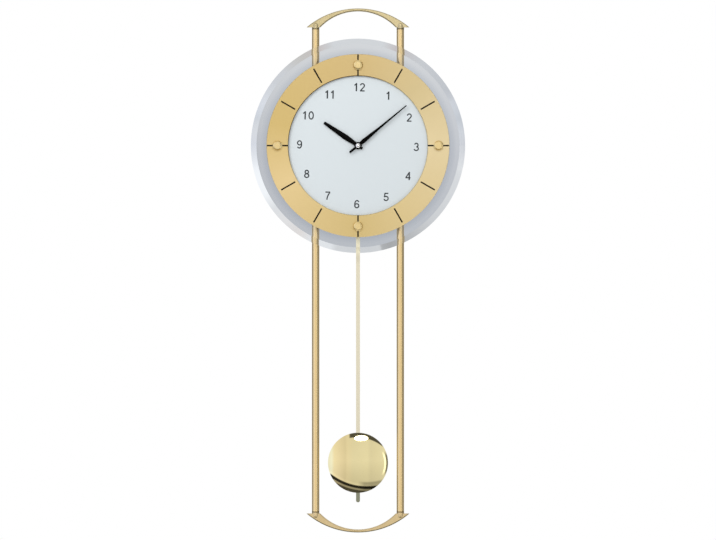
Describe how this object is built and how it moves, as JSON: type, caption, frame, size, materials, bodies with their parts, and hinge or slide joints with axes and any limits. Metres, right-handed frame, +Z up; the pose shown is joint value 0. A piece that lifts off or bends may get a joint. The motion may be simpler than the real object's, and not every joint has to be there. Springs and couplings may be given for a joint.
{
  "type": "pendulum wall clock",
  "caption": "Slim wall clock with a bevelled round glass, silver dial, gold hour ring and black hands on two gold tubes with crescent ends, and a long pendulum with a polished bob.",
  "frame": {"origin": "centre of the hanging eye, on the plane of the wall", "axes": "+X to the clock's right seen from the front, +Y into the wall, +Z up"},
  "size_m": [0.245, 0.044, 0.6],
  "materials": {
    "gold": "satin gold lacquer",
    "polished_brass": "mirror polished",
    "brass": "rolled, lacquered",
    "steel": "zinc plated",
    "black_metal": "satin black paint",
    "tick_inlay": "matt dark grey",
    "silver_dial": "matt silver",
    "clear_glass": "polished, with a facet",
    "black_rubber": "matt",
    "black_plastic": "fine texture",
    "pale_plastic": "moulded",
    "magnet": "sintered",
    "copper_wire": "enamelled winding",
    "board_green": "solder mask",
    "cell_sleeve": "plain printed sleeve"
  },
  "bodies": {
    "frame": {"rod_left": "gold", "rod_right": "gold", "top_bow": "gold", "bottom_bow": "gold", "wall_spacers": "gold", "hour_ring": "gold", "ring_knobs": "gold", "center_bush": "brass", "bush_nut": "brass", "rod_plugs": "steel", "bow_studs": "steel", "hanger_bracket": "steel", "hanger_rivets": "steel", "rod_clamps": "steel", "clamp_screws": "steel", "ring_spacers": "steel", "knob_nuts": "steel", "case_screws": "steel", "bush_washer": "steel", "bridge_screws": "steel", "setting_post": "steel", "stator_plate": "steel", "lever_pivot": "steel", "battery_contacts": "steel", "carrier_plate": "black_metal", "hour_markers": "tick_inlay", "dial_plate": "silver_dial", "glass_disc": "clear_glass", "wall_pads": "black_rubber", "glass_gasket": "black_rubber", "movement_case": "black_plastic", "rear_cover": "black_plastic", "board_chips": "black_plastic", "train_bridge": "pale_plastic", "ferrite_rod": "magnet", "motor_coil": "copper_wire", "drive_coil": "copper_wire", "antenna_coil": "copper_wire", "circuit_board": "board_green", "battery": "cell_sleeve"},
    "minute": {"minute_wheel": "brass", "cannon_pinion": "brass", "minute_hand": "black_metal", "hand_nut": "black_metal"},
    "hour": {"hour_wheel": "pale_plastic", "hour_hand": "black_metal"},
    "setting": {"setting_wheel": "pale_plastic"},
    "intermediate": {"intermediate_wheel": "pale_plastic"},
    "rotor": {"rotor_arbor": "pale_plastic", "rotor_magnet": "magnet"},
    "pendulum": {"pendulum_lever": "pale_plastic", "drive_magnet": "magnet", "pendulum_rod": "brass"},
    "bob": {"bob_front": "polished_brass", "bob_back": "polished_brass", "bob_clip": "steel"},
    "reset": {"reset_button": "pale_plastic"},
    "set": {"set_button": "pale_plastic"}
  },
  "joints": [
    {"name": "minute_spin", "type": "hinge", "parent": "frame", "child": "minute", "pos_m": [0, -0.03, -0.07], "axis": [0, 1, 0], "continuous": true},
    {"name": "hour_spin", "type": "hinge", "parent": "frame", "child": "hour", "pos_m": [0, -0.03, -0.07], "axis": [0, 1, 0], "continuous": true},
    {"name": "setting_spin", "type": "hinge", "parent": "frame", "child": "setting", "pos_m": [0.00849, -0.03, -0.06151], "axis": [0, 1, 0], "continuous": true},
    {"name": "intermediate_spin", "type": "hinge", "parent": "frame", "child": "intermediate", "pos_m": [-0.0097, -0.03, -0.0644], "axis": [0, 1, 0], "continuous": true},
    {"name": "rotor_spin", "type": "hinge", "parent": "frame", "child": "rotor", "pos_m": [-0.01801, -0.03, -0.0596], "axis": [0, 1, 0], "continuous": true},
    {"name": "pendulum_swing", "type": "hinge", "parent": "frame", "child": "pendulum", "pos_m": [0, -0.008, -0.052], "axis": [0, 1, 0], "range_deg": [-5, 5]},
    {"name": "bob_slide", "type": "slide", "parent": "pendulum", "child": "bob", "axis": [0, 0, 1], "range_m": [-0.007, 0.02]},
    {"name": "reset_push", "type": "slide", "parent": "frame", "child": "reset", "axis": [0, -1, 0], "range_m": [0, 0.001], "stiffness_N_per_m": 500},
    {"name": "set_push", "type": "slide", "parent": "frame", "child": "set", "axis": [0, -1, 0], "range_m": [0, 0.001], "stiffness_N_per_m": 500}
  ],
  "couplings": [
    {"joint": "hour_spin", "follows": "minute_spin", "ratio": 0.083333},
    {"joint": "setting_spin", "follows": "minute_spin", "ratio": -0.33333},
    {"joint": "intermediate_spin", "follows": "minute_spin", "ratio": -6},
    {"joint": "rotor_spin", "follows": "minute_spin", "ratio": 30}
  ]
}
